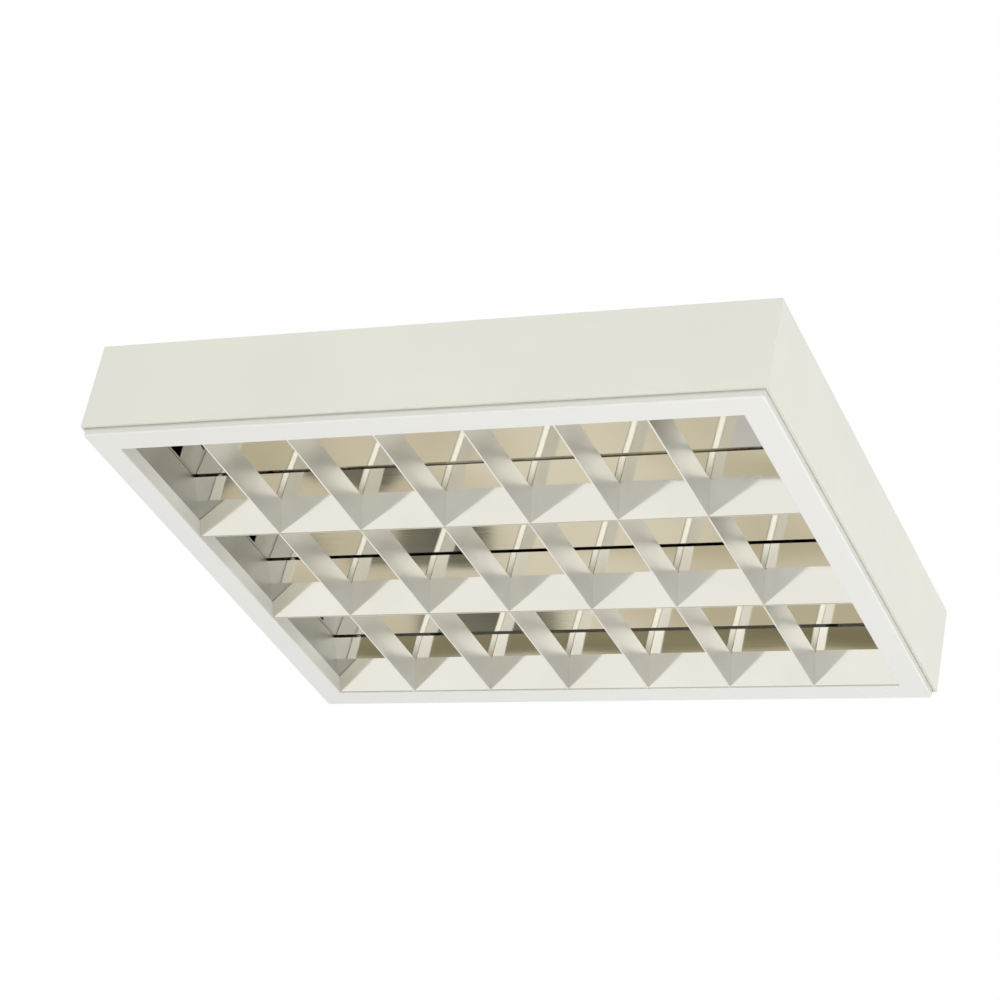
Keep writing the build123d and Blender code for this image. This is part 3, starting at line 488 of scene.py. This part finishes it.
def end_skirts():
    """Lower edges of the end reflectors, turned down to just above the louvre."""
    sheet, inset = 0.0006, 0.011
    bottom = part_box("louvre_ridge_1")[1].z + 0.0003
    sections = []
    for side in SIDES:
        low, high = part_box("end_reflector_" + side)
        inner = high.x if side == "left" else low.x
        outer = inner + math.copysign(sheet, inner)
        for row in ROWS:
            low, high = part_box("upper_reflector_%d" % row)
            top = low.z + 0.0004
            outline = [(inner, bottom), (inner, top), (outer, top), (outer, bottom)]
            sections.append((1, low.y + inset, high.y - inset, outline))
    strip("end_skirts", "housing", end_sheet, sections)


for row in ROWS:
    blade_tops(row)
wall_hems()
end_skirts()


# ------------------------------------------------------------------ room, light and camera
def seen_rays(t):
    """1 for camera, mirror and glass rays, 0 for the rays that light the object."""
    path = t.node("ShaderNodeLightPath")
    first = t.node("ShaderNodeMath", operation="MAXIMUM")
    seen = t.node("ShaderNodeMath", operation="MAXIMUM")
    t.link(path.outputs["Is Camera Ray"], first.inputs[0])
    t.link(path.outputs["Is Glossy Ray"], first.inputs[1])
    t.link(first.outputs[0], seen.inputs[0])
    t.link(path.outputs["Is Transmission Ray"], seen.inputs[1])
    return seen.outputs[0]


def blend_shaders(t, share, first, second, surface):
    mix = t.node("ShaderNodeMixShader")
    t.link(share, mix.inputs[0])
    t.link(first.outputs[0], mix.inputs[1])
    t.link(second.outputs[0], mix.inputs[2])
    t.link(mix.outputs[0], surface)


def pale_floor():
    """Pale floor that runs out into the white background."""
    made, t, s = material("pale_floor", Roughness=0.9)
    t.link(t.mix(t.uneven(2.0, 2.0), (0.86, 0.86, 0.85), (0.84, 0.84, 0.83)), s.inputs["Base Color"])
    coord = t.node("ShaderNodeTexCoord")
    reach = t.node("ShaderNodeVectorMath", operation="LENGTH")
    t.link(coord.outputs["Object"], reach.inputs[0])
    share = t.node("ShaderNodeMath", operation="MULTIPLY")
    t.link(t.spread(reach.outputs["Value"], 0, 1, *FLOOR_FADE), share.inputs[0])
    t.link(seen_rays(t), share.inputs[1])
    white = t.node("ShaderNodeEmission", in_Color=(1, 1, 1, 1), in_Strength=1.0)
    surface = made.node_tree.nodes["Material Output"].inputs["Surface"]
    blend_shaders(t, share.outputs[0], s, white, surface)
    return made


def grid_piece(name, cells, size, lift, finish):
    """Flat stage piece."""
    mesh = bpy.data.meshes.new(name)
    bm = bmesh.new()
    bmesh.ops.create_grid(bm, x_segments=cells, y_segments=cells, size=size)
    bmesh.ops.translate(bm, verts=bm.verts, vec=(0, 0, lift))
    bm.to_mesh(mesh)
    bm.free()
    mesh.materials.append(finish)
    piece = bpy.data.objects.new(name, mesh)
    scene.collection.objects.link(piece)
    return piece


def world():
    """White for the rays that are seen, and a softer light for the others."""
    sky = bpy.data.worlds.new("studio")
    scene.world = sky
    sky.use_nodes = True
    sky.node_tree.nodes.clear()
    t = Tree(sky.node_tree)
    out = t.node("ShaderNodeOutputWorld")
    light = t.node("ShaderNodeBackground", in_Color=(1, 1, 1, 1), in_Strength=0.62)
    white = t.node("ShaderNodeBackground", in_Color=(1, 1, 1, 1), in_Strength=1.0)
    blend_shaders(t, seen_rays(t), light, white, out.inputs["Surface"])


def lamp(name, place, aim, size, power, mirrored=False):
    data = bpy.data.lights.new(name, "AREA")
    data.shape = "RECTANGLE"
    data.size, data.size_y = size
    data.energy = power
    made = bpy.data.objects.new(name, data)
    scene.collection.objects.link(made)
    made.location = place
    made.rotation_euler = (Vector(aim) - Vector(place)).to_track_quat("-Z", "Y").to_euler()
    made.visible_glossy = mirrored


def flag(name, place, size, light, dark, pattern, roll=0.0):
    """Studio flag that only shows in the bright sheet."""
    made = bpy.data.materials.new(name + "_cloth")
    made.use_nodes = True
    made.node_tree.nodes.clear()
    t = Tree(made.node_tree)
    out = t.node("ShaderNodeOutputMaterial")
    glow = t.node("ShaderNodeEmission", in_Strength=1.0)
    t.link(t.mix(t.uneven(pattern, 2.0, start=0.42, end=0.58), light, dark), glow.inputs["Color"])
    t.link(glow.outputs[0], out.inputs["Surface"])
    piece = grid_piece(name, 1, 0.5, 0.0, made)
    piece.scale = (*size, 1)
    piece.location = place
    facing = (Vector(FLAG_AIM) - Vector(place)).to_track_quat("Z", "Y")
    piece.rotation_euler = (facing @ Quaternion((0, 0, 1), roll)).to_euler()
    piece.visible_camera = False
    piece.visible_diffuse = False
    piece.visible_shadow = False


def camera():
    data = bpy.data.cameras.new("view")
    data.sensor_width = 36.0
    data.lens = 102.58
    data.clip_end = 60
    made = bpy.data.objects.new("view", data)
    scene.collection.objects.link(made)
    right = Vector((0.90892, 0.37442, 0.18353))
    up = Vector((0.03925, -0.51502, 0.85628))
    back = Vector((0.41513, -0.77108, -0.4828))
    turn = Matrix((right, up, back)).transposed().to_4x4()
    made.matrix_world = Matrix.Translation((1.0336, -1.98113, -1.25779)) @ turn
    scene.camera = made


grid_piece("room_floor", 4, FLOOR_HALF, FLOOR_Z, pale_floor())
world()

# name, place, size, light tone, dark tone, scale of the pattern, roll
flag("khaki_flag", (-0.57, -0.80, -1.21), (3.2, 1.10), (0.78, 0.72, 0.60), (0.54, 0.48, 0.35), 3.2)
flag("grey_flag_right", (-0.115, -0.90, -0.84), (0.13, 0.10), (0.60, 0.59, 0.61), (0.56, 0.55, 0.57), 2.0)
flag("dark_flag", (-0.690, -0.790, -0.930), (0.12, 0.12), (0.17, 0.165, 0.135), (0.11, 0.105, 0.085), 2.0)
flag("dark_flag_low", (-0.764, -0.716, -1.102), (0.20, 0.11), (0.19, 0.18, 0.145), (0.12, 0.115, 0.09), 2.0, 0.5)
flag("olive_flag", (-0.566, -0.633, -1.269), (0.95, 0.20), (0.27, 0.24, 0.15), (0.20, 0.18, 0.11), 2.0, 0.57)
flag("dark_flag_end", (-0.869, -0.712, -0.813), (0.12, 0.10), (0.13, 0.13, 0.115), (0.07, 0.07, 0.065), 2.0)
flag("grey_flag", (0.9, 1.5, -0.75), (2.4, 0.9), (0.42, 0.42, 0.41), (0.50, 0.50, 0.48), 2.0)

# name, place, aim, size, power; only the one below shows in the bright sheet
lamp("front_soft", (-0.6, -3.0, 1.4), AIM, (2.0, 1.6), 32)
lamp("below_soft", (0.6, -0.4, -2.2), AIM, (3.6, 3.6), 40, True)
lamp("side_soft", (3.2, 0.6, 0.6), AIM, (1.6, 1.6), 25)
lamp("louvre_fill", (0, 0, -0.0485), (0, 0, -0.3), (0.56, 0.44), 0.68)

camera()
scene.view_settings.view_transform = "Standard"
